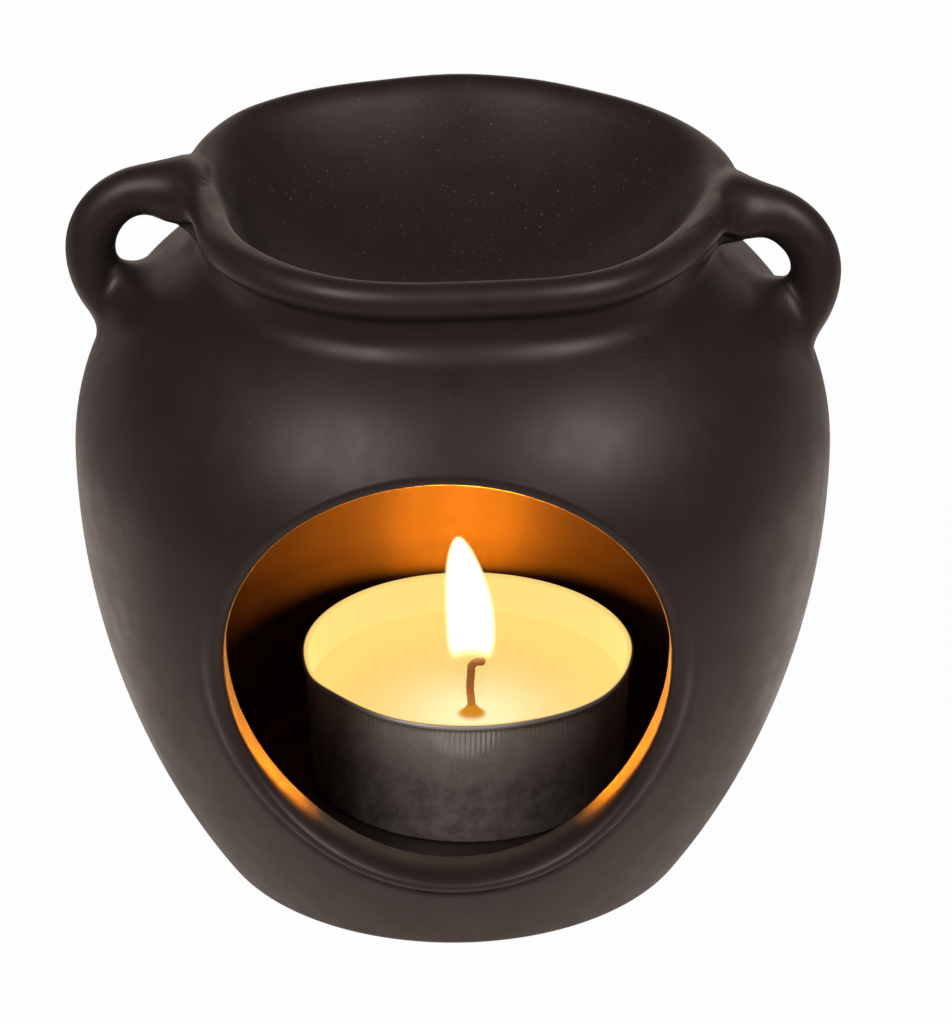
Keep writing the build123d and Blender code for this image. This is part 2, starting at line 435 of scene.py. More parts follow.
def clay_normals(points):
    """Normals of the shared surface round the ears, level ones at the neck, and nothing elsewhere.

    Round the ears each is the slope of the shared distance, taken over 0.2 mm each way.
    """
    normals = np.zeros_like(points)
    depth, _ = clay_gap(points)
    r = np.hypot(points[:, 0], points[:, 1])
    level = r - hand_shift(np.arctan2(points[:, 1], points[:, 0]), r, points[:, 2])
    neck = (np.abs(points[:, 2] - NECK[1]) < 0.05) & (np.abs(level - NECK[0]) < 0.3)
    normals[neck] = points[neck] * [1, 1, 0]
    normals[neck] /= np.linalg.norm(normals[neck], axis=1)[:, None]
    apart = ear_gap(points)
    value = shared_gap(points, depth, apart)
    near = np.flatnonzero((np.abs(value) < 0.3) & (np.abs(depth - apart) < 1.1 * blend_width(points)))
    slope = np.zeros((len(near), 3))
    for axis in range(3):
        for step in (-0.2, 0.2):
            moved = points[near].copy()
            moved[:, axis] += step
            slope[:, axis] += step * shared_gap(moved, clay_gap(moved)[0], ear_gap(moved))
    normals[near] = slope / np.linalg.norm(slope, axis=1)[:, None]
    return normals


# Meshes


def cast(name, sheets, body, material, shape=None, normals=None):
    """A piece from sheets of (points by rows and columns, whether the columns close).

    The sheets are joined where their edges meet, shape may move the points, and faces look out.
    normals gives the points' own normals, or nothing where the faces' are right.
    """
    corners, quads, start = [], [], 0
    for points, closed in sheets:
        rows, columns = points.shape[:2]
        index = start + np.arange(rows * columns).reshape(rows, columns)
        if closed:
            index = np.hstack([index, index[:, :1]])
        round_each = [index[:-1, :-1], index[:-1, 1:], index[1:, 1:], index[1:, :-1]]
        quads.append(np.stack(round_each, -1).reshape(-1, 4))
        corners.append(points.reshape(-1, 3))
        start += rows * columns
    corners, quads = np.vstack(corners), np.vstack(quads)
    mesh = bpy.data.meshes.new(name)
    mesh.vertices.add(len(corners))
    mesh.loops.add(quads.size)
    mesh.polygons.add(len(quads))
    mesh.vertices.foreach_set("co", corners.ravel())
    mesh.loops.foreach_set("vertex_index", quads.ravel())
    mesh.polygons.foreach_set("loop_start", np.arange(0, quads.size, 4))
    mesh.update(calc_edges=True)
    work = bmesh.new()
    work.from_mesh(mesh)
    bmesh.ops.remove_doubles(work, verts=work.verts, dist=0.002)
    bmesh.ops.recalc_face_normals(work, faces=work.faces)
    work.to_mesh(mesh)
    work.free()
    co = np.empty(len(mesh.vertices) * 3)
    mesh.vertices.foreach_get("co", co)
    co = co.reshape(-1, 3)
    if shape:
        co = shape(co)
    mesh.vertices.foreach_set("co", (co * MM).ravel())
    mesh.shade_smooth()
    mesh.update()
    if normals:
        mesh.normals_split_custom_set_from_vertices(normals(co))
    mesh.materials.append(material)
    piece = bpy.data.objects.new(name, mesh)
    bpy.context.scene.collection.objects.link(piece)
    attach(piece, body)
    return piece


def mark(piece, name, share):
    """Keeps share, worked out from the piece's points in millimetres, as a point attribute."""
    co = np.empty(len(piece.data.vertices) * 3)
    piece.data.vertices.foreach_get("co", co)
    layer = piece.data.attributes.new(name, "FLOAT", "POINT")
    layer.data.foreach_set("value", share(co.reshape(-1, 3) / MM).astype(np.float32))


def tube(line, radius, around, side):
    """A ring of around points about each point of a line: line + radius (side cos + up sin)."""
    way = np.gradient(line, axis=0)
    way /= np.linalg.norm(way, axis=1)[:, None]
    up = np.cross(way, side)
    up /= np.linalg.norm(up, axis=1)[:, None]
    side = np.cross(up, way)
    angle = np.linspace(0, 2 * math.pi, around, endpoint=False)[None, :, None]
    outward = side[:, None] * np.cos(angle) + up[:, None] * np.sin(angle)
    return line[:, None] + radius[:, None, None] * outward, outward


def capped(rings, line):
    """The rings with one more at each end, shrunk to the line's end point, to close them."""
    start, end = (np.repeat(point, rings.shape[1], 1) for point in (line[:1, None], line[-1:, None]))
    return np.vstack([start, rings, end])


# Where the tealight stands on the chamber's floor, and where its wick stands
CUP = np.array([1.6, 4.3, 5.4])
WICK = np.array([2.1, -1.7])


# Materials


class Value:
    """A node's output, with the sums that the shaders below are written in."""

    def __init__(self, finish, socket):
        self.finish, self.socket = finish, socket

    def sum(self, operation, first, second):
        return self.finish.node("Math", {"operation": operation}, {0: first, 1: second})

    def __add__(self, other):
        return self.sum("ADD", self, other)

    def __radd__(self, other):
        return self.sum("ADD", other, self)

    def __sub__(self, other):
        return self.sum("SUBTRACT", self, other)

    def __rsub__(self, other):
        return self.sum("SUBTRACT", other, self)

    def __mul__(self, other):
        return self.sum("MULTIPLY", self, other)

    def __rmul__(self, other):
        return self.sum("MULTIPLY", other, self)


class Nodes:
    """A node tree: node adds one of a kind, and feed sets or links one of its sockets."""

    def __init__(self, tree):
        self.tree = tree

    def feed(self, socket, value):
        if isinstance(value, Value):
            self.tree.links.new(value.socket, socket)
        else:
            socket.default_value = value

    def node(self, kind, settings=None, sockets=None, out=0):
        new = self.tree.nodes.new("ShaderNode" + kind)
        for key, value in (settings or {}).items():
            setattr(new, key, value)
        for key, value in (sockets or {}).items():
            self.feed(new.inputs[key], value)
        return Value(self, new.outputs[out]) if new.outputs else None

    def between(self, value, low, high, start=0.0, end=1.0):
        """value carried smoothly from low..high to start..end."""
        settings = {"interpolation_type": "SMOOTHSTEP"}
        return self.node("MapRange", settings, {0: value, 1: low, 2: high, 3: start, 4: end})

    def larger(self, first, second):
        return self.node("Math", {"operation": "MAXIMUM"}, {0: first, 1: second})

    def parts(self, where):
        """The x, y and z of a point or a direction."""
        split = self.node("SeparateXYZ", sockets={0: where}).socket.node
        return [Value(self, out) for out in split.outputs]


class Finish(Nodes):
    """A material: its Principled shader takes fixed values by name, and show links the rest."""

    def __init__(self, name, **fixed):
        self.material = bpy.data.materials.new(name)
        self.material.use_nodes = True
        super().__init__(self.material.node_tree)
        self.shader = self.tree.nodes["Principled BSDF"]
        for key, value in fixed.items():
            self.shader.inputs[key.replace("_", " ")].default_value = value

    def place(self):
        return self.node("TexCoord", out="Object")

    def noise(self, size, detail=2.0, roughness=0.5):
        """Noise with features about size millimetres across."""
        return self.node("TexNoise", sockets={
            "Vector": self.place(), "Scale": 1 / (size * MM), "Detail": detail, "Roughness": roughness,
        })

    def mix(self, share, first, second):
        """A colour between first and second."""
        return self.node("Mix", {"data_type": "RGBA"}, {0: share, 6: first, 7: second}, out=2)

    def kept(self, name):
        """A point attribute of the piece."""
        return self.node("Attribute", {"attribute_name": name}, out="Fac")

    def bump(self, height, distance, strength=1.0, under=None):
        sockets = {"Height": height, "Distance": distance * MM, "Strength": strength}
        if under:
            sockets["Normal"] = under
        return self.node("Bump", sockets=sockets)

    def show(self, **links):
        for key, value in links.items():
            self.feed(self.shader.inputs[key.replace("_", " ")], value)
        return self.material


def rgb(red, green, blue):
    """A colour socket's value."""
    return (red, green, blue, 1.0)


def dark_glaze():
    """Satin brown-black glaze: faint clouds, fine grain, pale specks, and brown on the worn edge, partly
    thin glaze and partly a painted highlight.
    """
    glaze = Finish("dark_satin_glaze", IOR=1.5, Specular_Tint=rgb(1.0, 0.80, 0.76))
    cloud = glaze.noise(14, 3)
    grain = glaze.noise(0.45, 3, 0.6)
    fine = glaze.noise(0.16, 2)
    speck = glaze.noise(0.3, 1)
    dusty = 0.35 * glaze.between(glaze.noise(9, 1), 0.45, 0.65) + 0.65 * glaze.kept("dusty")
    specks = glaze.between(speck, 0.70, 0.78) * dusty
    colour = glaze.mix(cloud, rgb(0.0150, 0.0100, 0.0095), rgb(0.0210, 0.0145, 0.0135))
    colour = glaze.mix(grain * 0.3, colour, rgb(0.030, 0.021, 0.019))
    # worn is partly thin glaze and partly a painted highlight on the bowl's crisp front edge
    worn = glaze.kept("worn") * glaze.between(grain, 0.3, 0.6, 0.5, 1.0)
    colour = glaze.mix(worn, colour, rgb(0.16, 0.11, 0.09))
    colour = glaze.mix(specks * 0.7, colour, rgb(0.17, 0.145, 0.13))
    rough = glaze.between(glaze.noise(3.5, 2), 0.3, 0.7, 0.40, 0.46) + specks * 0.2
    clay = glaze.bump(glaze.noise(5.5, 2), 0.12, 0.35)
    skin_grain = glaze.bump(grain * 0.5 + fine * 0.5, 0.03, 0.6, clay)
    return glaze.show(Base_Color=colour, Roughness=rough, Normal=skin_grain)


def tealight_metal():
    """Thin dull aluminium: mottled and pleated, with a film of wax inside, and painted light: lighter
    towards its edge, painted highlights on its pleats and rolled edge, and the wax film's painted flame
    glow.
    """
    metal = Finish("tealight_cup_metal", Emission_Strength=1.0)
    x, y, z = metal.parts(metal.place())
    bearing = metal.node("Math", {"operation": "ARCTAN2"}, {0: y - CUP[1] * MM, 1: x - CUP[0] * MM})
    pleat = metal.node("Math", {"operation": "SINE"}, {0: bearing * 200.0})
    mottle = metal.noise(0.6, 5, 0.75)
    cloud = metal.noise(6, 2)
    spot = metal.between(metal.noise(0.3, 1), 0.72, 0.78)
    waxed = metal.kept("waxed")
    worn = metal.between(metal.noise(2.2, 6, 0.7), 0.38, 0.66)
    colour = metal.mix(worn * 0.4 + mottle * 0.5, rgb(0.16, 0.125, 0.11), rgb(0.53, 0.44, 0.40))
    # Painted light: paler from 11 to 19 mm up, where more light reaches the cup, so it reads darker below
    painted_upper_light = metal.between(z, 11 * MM, 19 * MM) * (0.35 + mottle * 0.6)
    colour = metal.mix(painted_upper_light, colour, rgb(0.80, 0.67, 0.60))
    # Painted highlight: the pleated band and the patch in front are painted near white
    colour = metal.mix(metal.kept("pleated"), colour, rgb(1.0, 0.90, 0.84))
    colour = metal.mix(spot * 0.6, colour, rgb(0.72, 0.66, 0.62))
    # Painted highlight: a paler band along the rolled edge, 20 to 20.6 mm up
    colour = metal.mix(metal.between(z, 20.0 * MM, 20.6 * MM), colour, rgb(0.62, 0.54, 0.50))
    colour = metal.mix(waxed, colour, rgb(0.30, 0.23, 0.15))
    # Painted flame light: the wax film inside the cup glows by emission
    glow = metal.mix(waxed, rgb(0, 0, 0), rgb(0.90, 0.63, 0.19))
    rough = metal.between(mottle, 0.3, 0.7, 0.38, 0.5) + cloud * 0.08
    pleated = metal.bump(pleat * metal.kept("pleated"), 0.12, 0.8)
    return metal.show(
        Base_Color=colour, Roughness=rough, Metallic=0.55 - waxed * 0.55, Emission_Color=glow,
        Normal=metal.bump(mottle, 0.04, 0.4, pleated),
    )


def tealight_wax():
    """Cream paraffin, part melted, amber where it soaks the wick, and glowing with painted flame light,
    brightest near the wick.
    """
    wax = Finish("cream_wax", IOR=1.44, Emission_Strength=1.0)
    cloud = wax.noise(7, 3)
    soot = wax.kept("soot")
    colour = wax.mix(cloud, rgb(0.30, 0.23, 0.14), rgb(0.36, 0.29, 0.19))
    colour = wax.mix(soot, colour, rgb(0.15, 0.05, 0.005))
    # Painted flame light: the wax glows, most near the wick, and a dimmer amber where it soaks the wick
    glow = wax.mix(wax.kept("near"), rgb(0.88, 0.60, 0.16), rgb(0.98, 0.86, 0.48))
    glow = wax.mix(soot, glow, rgb(0.55, 0.22, 0.012))
    rough = wax.between(cloud, 0.3, 0.7, 0.25, 0.4)
    ripple = wax.bump(wax.noise(2.5, 2), 0.05, 0.4)
    return wax.show(Base_Color=colour, Roughness=rough, Emission_Color=glow, Normal=ripple)


def wick_cotton():
    """Braided cotton soaked with wax, charred towards the tip, and glowing with painted flame light."""
    cotton = Finish("charred_wick", Emission_Strength=1.0)
    char = cotton.kept("char")
    fibre = cotton.noise(0.25, 3, 0.7)
    colour = cotton.mix(char, rgb(0.15, 0.06, 0.02), rgb(0.07, 0.025, 0.012))
    colour = cotton.mix(fibre * 0.5, colour, rgb(0.24, 0.11, 0.04))
    # Painted flame light: the wick glows, less where it is charred
    glow = cotton.mix(char, rgb(0.33, 0.105, 0.016), rgb(0.20, 0.055, 0.010))
    return cotton.show(
        Base_Color=colour, Emission_Color=glow, Roughness=cotton.between(fibre, 0.3, 0.7, 0.7, 0.9),
        Normal=cotton.bump(fibre, 0.08, 0.7),
    )


def tinned_steel():
    """Bright tin plate with a faint brushed grain."""
    tin = Finish("sustainer_tin", Metallic=1.0)
    grain = tin.noise(0.5, 3)
    colour = tin.mix(grain, rgb(0.55, 0.54, 0.52), rgb(0.70, 0.69, 0.67))
    rough = tin.between(grain, 0.3, 0.7, 0.25, 0.4)
    return tin.show(Base_Color=colour, Roughness=rough, Normal=tin.bump(grain, 0.02, 0.4))


def flame_light(name, outside, strength, cover):
    """A flame's shell: it gives off light, and the point attribute body thins it downwards."""
    flame = Finish(name, Base_Color=rgb(0, 0, 0), Specular_IOR_Level=0.0, Emission_Strength=strength)
    body = flame.kept("body")
    colour = flame.mix(body, rgb(1.0, 0.50, 0.12), outside)
    return flame.show(Emission_Color=colour, Alpha=flame.between(body, 0, 1, 0.0, cover))


glaze = dark_glaze()
cup_metal = tealight_metal()


# Window: for each angle round its middle, the wall is cut level, and both edges are rounded

WINDOW = (-0.5, 37.6)
WINDOW_RADIUS = 24.4

# How far the cut wanders out, and how high the lip stands, at each angle round the window
cut_plan = wander({
    90: 0.5, 45: 0.6, 135: 0.7, 0: -0.75, 180: -0.5, 225: -0.8, 250: -0.2, 270: 0.2, 295: 0.25,
    312: -0.4, 330: -0.9,
}, 9)
lip_plan = wander({
    90: 0.0, 30: 0.0, 0: 0.12, -30: 0.55, -60: 0.9, -90: 0.95, -120: 0.95, -150: 0.6, 180: 0.12,
    150: 0.0,
}, 8)


def cut_radius(phi):
    """The window's radius at an angle round its middle."""
    return WINDOW_RADIUS + cut_plan(phi)


def raised_lip(x, z):
    """How far the skin swells round the window: a rolled lip beside the cut, then a shallow crease."""
    phi = np.arctan2(z - WINDOW[1], x - WINDOW[0])
    beyond = np.hypot(x - WINDOW[0], z - WINDOW[1]) - cut_radius(phi)
    crinkle = 1 + 0.25 * np.sin(phi * 37) * np.sin(phi * 11 + 1)
    rolled = 1 - ease(beyond, 1.6, 2.5)
    crease = 0.4 * crinkle * bump_at(beyond, 2.7, 0.4)
    return lip_plan(phi) * (rolled - crease)


def front_skin(rho, phi, side):
    """How far back the outer or inner skin lies, on the line at rho and phi from the window's middle.

    From r^2 = x^2 + y^2 on a round pot, y = -sqrt(r^2 - x^2).
    """
    x, z = WINDOW[0] + rho * np.cos(phi), WINDOW[1] + rho * np.sin(phi)
    r = outer_radius(z) + raised_lip(x, z) if side == "outer" else inner_radius(z)
    return -np.sqrt(r * r - x * x)


def window_edge(phi, side, rounding, deeper, longest, steps):
    """The rounded edge of the cut, as (rho, y) rows from the skin to the cut face.

    A round of this radius meets skin and cut at A and B, both the same way from the corner C. On
    the cut it goes deeper by deeper, but takes up no more than the share longest. It is the curve
    ((1-t)^2 A + 2t(1-t) w C + t^2 B) / ((1-t)^2 + 2t(1-t) w + t^2), where w is the sine of half the
    corner's angle.
    """
    into = 1 if side == "outer" else -1
    corner = cut_radius(phi)
    slope = (front_skin(corner + 1.2, phi, side) - front_skin(corner + 0.4, phi, side)) / 0.8
    angle = np.arccos(into * slope / np.sqrt(1 + slope**2))
    depth = front_skin(corner, phi, "inner") - front_skin(corner, phi, "outer")
    reach = rounding / np.tan(angle / 2)
    rho_a = corner + reach / np.sqrt(1 + slope**2)
    y_a = front_skin(rho_a, phi, side)
    y_c = y_a - slope * (rho_a - corner)
    y_b = y_c + into * np.minimum(reach + deeper, longest * depth)
    weight = np.sin(angle / 2)
    t = np.linspace(0, 1, steps + 1)[:, None]
    a, c, b = (1 - t) ** 2, 2 * t * (1 - t) * weight, t**2
    rho = (a * rho_a + c * corner + b * corner) / (a + b + c)
    y = (a * y_a + c * y_c + b * y_b) / (a + b + c)
    return rho, y


def window_sheets(outer_z, inner_z, first, last):
    """Sheets that carry the skins round the window and line its cut.

    The skins' grids leave out a block from column first to last. Each column here runs from a point
    on the block's border straight towards the window in bearing and height, then round the edge.
    """
    columns = round_pot[first : last + 1]
    rows = len(outer_z) - 1

    def border(heights):
        """Bearings and heights once round the block's border, from its lower corner."""
        low, high = np.full(len(columns), heights[0]), np.full(len(columns), heights[-1])
        near_side, far_side = np.full(rows, columns[0]), np.full(rows, columns[-1])
        a = np.concatenate([columns[:-1], far_side, columns[:0:-1], near_side])
        z = np.concatenate([low[:-1], heights[:-1], high[:0:-1], heights[:0:-1]])
        return a, z

    a_out, z_out = border(outer_z)
    a_in, z_in = border(inner_z)
    phi = np.arctan2(z_out - WINDOW[1], BELLY[0] * (a_out + math.pi / 2) - WINDOW[0])
    low = ease(-np.sin(phi), 0.3, 0.95)
    outer_rho, outer_y = window_edge(phi, "outer", rounding=1.0, deeper=2.7 * low, longest=0.84, steps=14)
    inner_rho, inner_y = window_edge(phi, "inner", rounding=0.6, deeper=0.0, longest=0.14, steps=6)
    t = np.linspace(0, 1, 8)[1:-1, None]
    rho = np.vstack([outer_rho, outer_rho[-1] + t * (inner_rho[-1] - outer_rho[-1]), inner_rho[::-1]])
    y = np.vstack([outer_y, outer_y[-1] + t * (inner_y[-1] - outer_y[-1]), inner_y[::-1]])
    x, z = WINDOW[0] + rho * np.cos(phi), WINDOW[1] + rho * np.sin(phi)
    lining = np.stack([x, y, z], -1)

    def skin_ring(ring, a, z, share, side):
        """Rows on a skin from the border, where share is 0, to the ring, where it is 1."""
        ring_a = np.arctan2(ring[:, 1], ring[:, 0])
        a = a + share * (ring_a - a)
        z = z + share * (ring[:, 2] - z)
        r = outer_radius(z) if side == "outer" else inner_radius(z)
        if side == "outer":
            r = r + raised_lip(r * np.cos(a), z)
        sheet = np.stack([r * np.cos(a), r * np.sin(a), z * np.ones_like(a)], -1)
        sheet[-1] = ring
        return sheet

    near = 1 - (1 - np.linspace(0, 1, 34)[:, None]) ** 1.6
    far = np.linspace(0, 1, 14)[:, None]
    return [
        (skin_ring(lining[0], a_out, z_out, near, "outer"), True),
        (lining, True),
        (skin_ring(lining[-1], a_in, z_in, far, "inner"), True),
    ]


# Pot: one wall from the middle of the foot up to the neck, and down again to the chamber's floor.
# The window's block of the grid, between these bearings and heights, is left out of both skins.

in_block = (round_pot > math.radians(-142)) & (round_pot < math.radians(-38))
first, last = np.flatnonzero(in_block)[[0, -1]]
beside = round_pot[np.r_[last : len(round_pot), 0 : first + 1]]
outer_z = np.linspace(7.5, 67.0, 65)
inner_z = np.linspace(9.0, 67.0, 65)

outer_low = outer_side[outer_side[:, 1] < outer_z[0] - 0.1]
outer_low = soft_corner(chain(straight((0, 0), FOOT, 12), outer_low), FOOT, reach=1.1, steps=8)
outer_block = np.stack([outer_radius(outer_z), outer_z], -1)
outer_top = outer_side[outer_side[:, 1] > outer_z[-1] + 0.05]
outer_high = even(np.vstack([outer_block[-1:], outer_top, groove[1:]]), 0.4)
inner_low = inner_side[inner_side[:, 1] < inner_z[0] - 0.1]
inner_low = chain(straight((0, FLOOR[1]), FLOOR, 12), inner_low)
inner_low = soft_corner(inner_low, FLOOR, reach=0.9, steps=5)
inner_block = np.stack([inner_radius(inner_z), inner_z], -1)
inner_high = np.vstack([inner_block[-1:], inner_side[inner_side[:, 1] > inner_z[-1] + 0.3]])
crown = chain(outer_high, straight(NECK, SEAT, 6), straight(SEAT, inner_high[-1], 3), inner_high[::-1])
pot_sheets = [
    (spin(np.vstack([outer_low, outer_block[:1]]), round_pot), True),
    (spin(outer_block, beside), False),
    (spin(crown, round_pot), True),
    (spin(inner_block, beside), False),
    (spin(np.vstack([inner_low, inner_block[:1]]), round_pot), True),
] + window_sheets(outer_z, inner_z, first, last)
pot = cast("pot", pot_sheets, "burner", glaze, press_in_ears, clay_normals)
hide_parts("pot_body")

# Dish: from the middle of its underside out to the neck, round the lip and down into the bowl
under = chain(even(underside, 1.2)[:-1], np.array([SEAT]), straight(SEAT, NECK, 6), overhang)
softness = edge_softness(round_pot)[:, None]
edge_rows = rim_edge(0)[:, None] * (1 - softness) + rim_edge(1)[:, None] * softness
edge_rows[-1, :, 0] = under[0, 0] = 0
dish_sheets = [
    (spin(under, round_pot), True),
    (spin(edge_rows[: LIP_STEPS + 1], round_pot), True),
    (spin(edge_rows[LIP_STEPS:], round_pot, broad=1), True),
]
dish = cast("dish", dish_sheets, "burner", glaze, press_in_ears, clay_normals)
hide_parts("oil_dish")

# Ears
for name, (line, radius, outward) in ears.items():
    rings, way = tube(line, radius, EAR_AROUND, np.cross(outward, [0, 0, 1.0]))
    points = rings.reshape(-1, 3)
    rings = swell(points, way.reshape(-1, 3), clay_gap(points)[0]).reshape(rings.shape)
    sheets = [(capped(rings, line), True)]
    ear = cast(name.replace("_handle", ""), sheets, "burner", glaze, None, clay_normals)
    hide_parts(name)


def bowl_edge_wear_and_highlight(points):
    """1 along the sharp edge between rim and bowl, where the glaze has run thin, and whose paler colour
    also paints the edge's highlight.
    """
    angle = np.arctan2(points[:, 1], points[:, 0])
    r = np.hypot(points[:, 0], points[:, 1]) - rim_plan(angle) + rim_breadth(angle)
    apart = np.hypot(r - BOWL_EDGE[0] + 0.05, points[:, 2] - BOWL_EDGE[1] + 0.05)
    return ease(apart, 0.32, 0.12) * (1 - edge_softness(angle))


def inside_rim(points):
    """1 inside the rim, where dust and dried oil settle."""
    return ease(np.hypot(points[:, 0], points[:, 1]), 29, 27) * (points[:, 2] > 60)


# The bowl's crisp edge is painted paler: worn glaze and a painted highlight
mark(dish, "worn", bowl_edge_wear_and_highlight)
mark(dish, "dusty", inside_rim)

# Tealight cup: pressed out of round, and its edge bent up a little in front on the left
cup_plan = wander({
    175: 0.0, -174: 0.03, -165: 0.17, -158: 0.34, -151: 0.09, -146: -0.16, -140: -0.23, -135: -0.12,
    -129: 0.15, -122: 0.41, -115: 0.42, -106: 0.31, -94: 0.08, -83: -0.02, -72: -0.15, -61: -0.05,
    -49: 0.22, -37: 0.44, -24: 0.26, -10: 0.1, 5: 0.16, 60: -0.1, 120: -0.1,
}, 4)
cup_lift = wander({
    -160: 0, -140: 0.15, -125: 0.5, -112: 0.35, -95: 0.2, -75: 0.1, -50: 0, 90: 0,
}, 6)


def cup_shape(profile, angle):
    """The profile carried round the cup's middle, bent out of round and out of level towards its edge."""
    r, z = np.broadcast_arrays(profile[:, :1], profile[:, 1:])
    r = r + cup_plan(angle) * ease(z, 3, 15) * np.minimum(1, (r / 17) ** 2)
    z = z + cup_lift(angle) * ease(z, 11, 15) * ease(r, 17, 17.8)
    return CUP + np.stack([r * np.cos(angle), r * np.sin(angle), z * np.ones_like(angle)], -1)


def cup_inside(points):
    """1 on the cup's inner face above its floor, up to the middle of its rolled edge.

    The wall's middle lies 18.1 mm from the cup's, and leans out by 0.5 mm over 15.5 mm of height.
    """
    x, y, z = (points - CUP).T
    wall = 18.1 + 0.5 * z / 15.5 + cup_plan(np.arctan2(y, x)) * ease(z, 3, 15)
    outward = np.hypot(x, y) - wall - 0.25 * ease(points[:, 2], 20.35, 20.8)
    return ease(outward, -0.06, -0.16) * (points[:, 2] > 14)


def cup_pleats_and_highlight(points):
    """Fine pleats under the edge, pressed deepest in a half round patch in front, which the metal's colour
    also lights up as a painted highlight.
    """
    x, y = points[:, 0] - CUP[0], points[:, 1] - CUP[1]
    bearing = np.degrees(np.arctan2(y, x))
    fall = 20.3 - points[:, 2]
    patch = ease(np.hypot((bearing + 91) / 12.8, fall / 3.5), 1.1, 0.6)
    return (0.12 * ease(fall, 3.0, 0.5) + patch) * ease(fall, 0.0, 0.3)


around_cup = np.linspace(-math.pi, math.pi, 360, endpoint=False)
outer_wall = chain(
    straight((0, 0), (17.7, 0), 10),
    arc((17.7, 0), 0, 0.4, 88.2, 8),
    straight((18.11, 0.4), (18.59, 14.6), 28),
)
rolled_edge = arc((18.6, 14.7), 0, 0.4, 270, 20)
inner_wall = chain(
    straight((18.25, 15.0), (17.9, 1.4), 26),
    arc((17.9, 1.4), -92, 1.0, -88, 6),
    straight((16.9, 0.25), (0, 0.25), 10),
)
cup_profile = np.vstack([outer_wall, rolled_edge, inner_wall])
cup = cast("tealight_cup_wall", [(cup_shape(cup_profile, around_cup), True)], "tealight", cup_metal)
mark(cup, "waxed", cup_inside)
mark(cup, "pleated", cup_pleats_and_highlight)
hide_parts("tealight_cup")

# Wax: level, but climbing the cup's wall and the wick


def from_wick(points):
    """How far points lie from the wick's middle, measured level."""
    return np.hypot(points[:, 0] - WICK[0], points[:, 1] - WICK[1])


def wax_surface(points):
    """The wax's top, raised by t e^(-d/s) near the wall, and at the wick by a bell in a wide dip."""
    inward = 17.9 - np.hypot(points[:, 0] - CUP[0], points[:, 1] - CUP[1])
    apart = from_wick(points)
    lift = 0.45 * np.exp(-np.maximum(inward, 0) / 0.7)
    lift = lift + 1.6 * bump_at(apart, 0, 1.05) - 0.3 * bump_at(apart, 0, 6)
    points[:, 2] += np.where(points[:, 2] > 15.6, lift, 0)
    return points


wax_profile = np.vstack([
    straight((0, 0.3), (16.6, 0.3), 8),
    arc((16.75, 0.35), 0, 0.95, 86, 6)[1:],
    straight((17.78, 1.7), (18.02, 10.0), 12),
    straight((17.98, 10.3), (0, 10.3), 70),
])
wax_sheets = [(cup_shape(wax_profile, around_cup), True)]
wax = cast("wax_fill", wax_sheets, "tealight", tealight_wax(), wax_surface)
mark(wax, "soot", lambda p: ease(from_wick(p), 2.0, 1.1) * (p[:, 2] > 15))
# near carries the painted flame glow of the wax, brightest by the wick
mark(wax, "near", lambda p: bump_at(from_wick(p), 0, 8))
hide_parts("tealight_wax")

# Wick: it stands in the wax and hooks over to the right
stem = straight((0, 0.1), (-0.15, 15.7), 60)
hook = arc(stem[-1], 90.5, 0.85, -78, 14)
wick_side = even(chain(stem, hook, straight(hook[-1], hook[-1] + (1.05, 0.18), 6)), 0.1)
sway = 0.07 * np.sin(wick_side[:, 1] * 1.3) * ease(wick_side[:, 1], 9, 12)
wick_line = np.stack([
    WICK[0] + wick_side[:, 0] + sway,
    np.full_like(sway, WICK[1]),
    CUP[2] + 0.25 + wick_side[:, 1],
], -1)
WICK_AROUND = 32
along = np.linspace(0, 1, len(wick_line))[:, None, None]
turn_round = np.linspace(0, 2 * math.pi, WICK_AROUND, endpoint=False)[None, :, None]
strands = np.abs(np.sin(1.5 * turn_round + 60 * along)) * np.abs(np.sin(1.5 * turn_round - 60 * along))
wick_radius = 0.5 * np.sqrt(np.clip(1 - ease(along[:, 0, 0], 0.985, 1.0), 0.01, 1))
rings, way = tube(wick_line, wick_radius, WICK_AROUND, np.array([0, 1.0, 0]))
rings = rings - 0.08 * (1 - strands) * way
wick = cast("braided_wick", [(capped(rings, wick_line), True)], "tealight", wick_cotton())
mark(wick, "char", lambda p: ease(p[:, 2], 16.5, 20.5))
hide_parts("wick")

# The wick's sustainer keeps its CAD mesh
sustainer = frame["nodes"]["wick_sustainer"]
sustainer.data.materials.clear()
sustainer.data.materials.append(tinned_steel())


# Flame: drops of light one inside another, clear round the wick and bright above it
FLAME_FOOT = 16.6
FLAME_HEIGHT = 21.6


def flame_middle(z):
    """Where the flame's middle line is: upright, then drawn to the left towards the tip."""
    up = (z - FLAME_FOOT) / FLAME_HEIGHT
    return 2.12 - 0.3 * up - 1.25 * up * ease(up, 0.4, 1.05)


def flame_body(points):
    """0 in the clear foot of the flame and 1 in its bright body, which starts lower at the sides."""
    aside = points[:, 0] - flame_middle(points[:, 2])
    return ease(points[:, 2] + 0.28 * aside**2, 23.2, 27.4)


